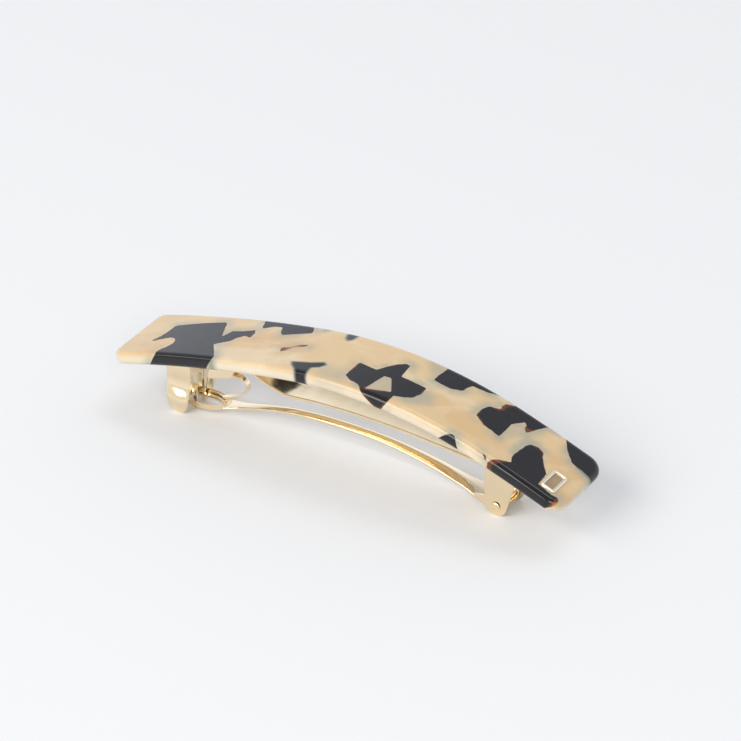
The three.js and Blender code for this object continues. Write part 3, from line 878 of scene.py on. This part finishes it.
def makeSpring():
    thick, gap = spring["thickness"], spring["gap"]
    baseUnder = sheetMetal["baseTop"] + sheetMetal["thickness"]
    rivetX, rivetZ = onArch(spring["rivetAlong"], baseUnder + thick / 2 + gap)
    heading = archWalk(spring["rivetAlong"], 0)[2]
    slope = sin(heading) / cos(heading)
    points = [(rivetX + step, rivetZ + step * slope) for step in spring["flange"]]
    points += [(rivetX + step, rivetZ - fall) for step, fall in spring["bend"]]
    startStep, startHeight = spring["loopStart"]
    points.append((rivetX + startStep, startHeight))
    line = throughPoints(points + spring["loop"], 110)
    last = len(line) - 1
    wide, narrow = spring["flangeHalfWidth"], spring["halfWidth"]
    # a wide flange with a rounded end, then the narrow leaf and its tapered tip
    widths = np.interp(np.arange(len(line)), [0, 2, 12, 20, last - 3, last],
                       [wide - spring["flangeTaper"], wide, wide, narrow, narrow, narrow - spring["tipTaper"]])
    bm = bmesh.new()
    strip(bm, line, thick, widths)
    finishPiece("kick_spring_leaf", bm, "spring", "plate_and_clip", ["kick_spring"])
    reach, shank = sheetMetal["thickness"] + thick + 2 * gap, spring["rivetShank"]
    profile = [(radius, -reach - height) for radius, height in spring["rivetHead"]] + [(shank, -0.02)]
    turnedPin("spring_rivet", profile, seatMatrix(spring["rivetAlong"], sheetMetal["baseTop"], 0),
              ["kick_spring_rivet"])


makeSpring()

# adhesive pads

pads = {
    "thickness": 0.5,
    "halfWidth": 3.4,
    "depth": 3.37,              # of the pad's middle, below the plate's top face
    "spans": [("catch_end", 24, 44), ("hinge_end", 64, 86)],
}

for padName, padStart, padEnd in pads["spans"]:
    bm = bmesh.new()
    strip(bm, archLine(padStart, padEnd, pads["depth"], 24), pads["thickness"], pads["halfWidth"], 0.0, 6)
    finishPiece("foam_pad_" + padName, bm, "adhesive", "plate_and_clip", ["adhesive_pad_" + padName])

# clasp arm

arm = {
    "thickness": 0.5,
    "line": [(36.4, 1.0), (34.0, 1.0), (30.4, 1.75), (25.0, 3.15), (18.0, 4.85), (9.0, 6.2), (0.0, 6.6),
             (-9.0, 6.35), (-16.0, 5.6), (-22.0, 4.35), (-27.0, 3.0), (-30.4, 2.2)],
    "widths": [(-30.4, 2.0), (-29.2, 1.75), (-27.0, 1.3), (-20.0, 1.15), (6.0, 1.3), (14.0, 1.55),
               (22.0, 1.8), (26.0, 1.98), (28.4, 2.3), (30.2, 2.72), (31.4, 2.9), (36.4, 2.9)],
    # how far the strip's middle stands above its edges, at each share of its length from the ring end
    "crownShares": [0.0, 0.08, 0.3, 0.5, 0.78, 0.88, 1.0],
    "crowns": [0.0, 0.15, 0.42, 0.5, 0.6, 0.25, 0.0],
    "crownPower": 1.3,          # nearer 1, the strip is more like a roof
    "cheekOuter": 2.9,
    "cheekLow": [(29.6, 1.9), (34.0, 0.9), (36.4, 0.9)],
    "cheekTip": (29.6, 2.7),
    "cheekRadius": 1.55,
    "cheekTurn": (-0.8, pi * 0.6),
    "cheekBevel": 0.12,
    "ringCentre": (-36.1, 0.9),
    "ringStretch": 12.6 / 6.2,
    # radius and height, round the whole section of the dished ring
    "ringProfile": [(2.10, 0.0), (2.34, 0.0), (2.52, 0.16), (2.70, 0.55), (2.86, 1.05), (3.0, 1.45),
                    (3.1, 1.62), (3.08, 1.7), (2.92, 1.72), (2.72, 1.62), (2.55, 1.25), (2.42, 0.85),
                    (2.28, 0.56), (2.14, 0.45), (2.06, 0.3), (2.06, 0.1)],
}


def makeArm():
    bm = bmesh.new()
    xs, halves = zip(*arm["widths"])
    line = throughPoints(arm["line"][::-1], 120)
    crowns = np.interp(np.arange(len(line)) / (len(line) - 1), arm["crownShares"], arm["crowns"])
    strip(bm, line, arm["thickness"], np.interp(line[:, 0], xs, halves), crowns, 14, arm["crownPower"])
    cheek = arm["cheekLow"] + arcPoints(pivot, arm["cheekRadius"], *arm["cheekTurn"], 14) + [arm["cheekTip"]]
    outer, inner = arm["cheekOuter"], arm["cheekOuter"] - arm["thickness"]
    slab(bm, cheek, inner, outer, "Y", arm["cheekBevel"])
    slab(bm, cheek, -outer, -inner, "Y", arm["cheekBevel"])
    centre = Matrix.Translation((arm["ringCentre"][0], 0, arm["ringCentre"][1]))
    loft(bm, lathe(arm["ringProfile"], centre, 72, arm["ringStretch"]), closed=True)
    finishPiece("clasp_arm_bow", bm, "gold", "arm", ["clasp_arm"])


makeArm()

# tension bar

bar = {
    "thickness": 0.5,
    "halfWidth": 2.8,
    "line": [(34.4, 9.6), (29.0, 10.35), (20.0, 11.2), (10.0, 11.85), (0.0, 11.95), (-8.0, 11.6),
             (-12.5, 11.15), (-15.0, 11.05), (-17.4, 11.6), (-20.0, 12.5), (-22.2, 13.35),
             (-23.2, 13.95), (-23.6, 14.7)],
    "crown": -0.16,             # slightly dished
    "lugRadius": 0.5,
    "lugBevel": 0.12,
    "lugTip": 0.1,              # radius of the small flat in the middle of each end
    "lugClearance": 0.1,
}


def makeBar():
    bm = bmesh.new()
    line = throughPoints(bar["line"][::-1], 130)
    strip(bm, line, bar["thickness"], bar["halfWidth"], bar["crown"], 14)
    reach, radius = sheetMetal["halfWidth"] - bar["lugClearance"], bar["lugRadius"]
    bevel, tip = bar["lugBevel"], bar["lugTip"]
    profile = [(tip, -reach), (radius - bevel, -reach), (radius, -reach + bevel),
               (radius, reach - bevel), (radius - bevel, reach), (tip, reach)]
    lugX, lugZ = bar["line"][0]
    matrix = Matrix.Translation((lugX, 0, lugZ)) @ Matrix.Rotation(-pi / 2, 4, "X")
    loft(bm, lathe(profile, matrix, 24))
    finishPiece("tension_bar_leaf", bm, "spring", "bar", ["tension_bar"])


makeBar()

# catch tabs

tab = {
    "thickness": 0.6,
    "right": -37.0,
    "across": 14,
    "edgeRound": 0.15,
    "edgeAngles": (50, 0, -50),
    "pad": (0.32, 2.4, 2.9),    # how far the finger pad bulges, its middle's height and its reach
    "legCorner": 0.12,
    "legBevel": 0.05,
    # outward distance of the wall at each height
    "wall": [(3.6, 12.4), (3.6, 9.5), (3.6, 6.9), (4.05, 5.2), (4.75, 3.6), (4.95, 2.2), (4.75, 0.9),
             (4.45, 0.1)],
    # height and X of the wall's two side edges
    "leftEdge": [(9.3, -43.0), (6.5, -42.75), (4.4, -42.4), (2.4, -41.95), (1.0, -41.45), (0.1, -40.4)],
    "rightEdge": [(9.3, -37.0), (3.4, -37.0), (1.9, -37.2), (0.8, -37.75), (0.1, -38.6)],
    # outward distance and height round the hooked leg
    "leg": [(3.5, 9.6), (1.35, 8.5), (1.25, 8.1), (1.25, 0.25), (1.35, 0.15), (2.3, 0.15), (2.5, 0.35),
            (1.95, 0.62), (1.85, 0.9), (1.85, 3.1), (3.3, 4.2), (3.55, 6.6)],
}


def makeTab(name, side, body, node):
    bm = bmesh.new()
    half, edge, across = tab["thickness"] / 2, tab["edgeRound"], tab["across"]
    line = throughPoints(tab["wall"], 44)
    leftEdge, rightEdge = throughPoints(tab["leftEdge"], 30), throughPoints(tab["rightEdge"], 30)
    padRise, padMiddle, padReach = tab["pad"]
    rings = []
    for (out, z), (wayOut, wayZ) in zip(line, directions(line)):
        low = float(np.interp(-z, -leftEdge[:, 0], leftEdge[:, 1]))
        high = float(np.interp(-z, -rightEdge[:, 0], rightEdge[:, 1]))
        bulge = padRise * max(0.0, 1 - ((z - padMiddle) / padReach) ** 2)
        ring = []
        for facing, end in ((1, high), (-1, low)):      # the outer face, then the inner one
            for k in range(across + 1):
                t = k / across if facing > 0 else 1 - k / across
                x = low + edge + (high - low - 2 * edge) * t
                ring.append((x, facing * half + bulge * (1 - (2 * t - 1) ** 2)))
            for angle in tab["edgeAngles"]:
                turn = radians(angle)
                ring.append((end - facing * edge * (1 - cos(turn)), facing * half * sin(turn)))
        rings.append([(x, side * (out - wayZ * push), z + wayOut * push) for x, push in ring])
    loft(bm, rings)
    outline = roundedOutline([(side * y, z) for y, z in tab["leg"]], tab["legCorner"], 3)
    slab(bm, outline, tab["right"] - tab["thickness"], tab["right"], "X", tab["legBevel"])
    finishPiece(name, bm, "gold", body, [node])


makeTab("catch_tab_front_pressed", -1, "tab_front", "catch_tab_front")
makeTab("catch_tab_back_pressed", 1, "tab_back", "catch_tab_back")

print("all pieces made")
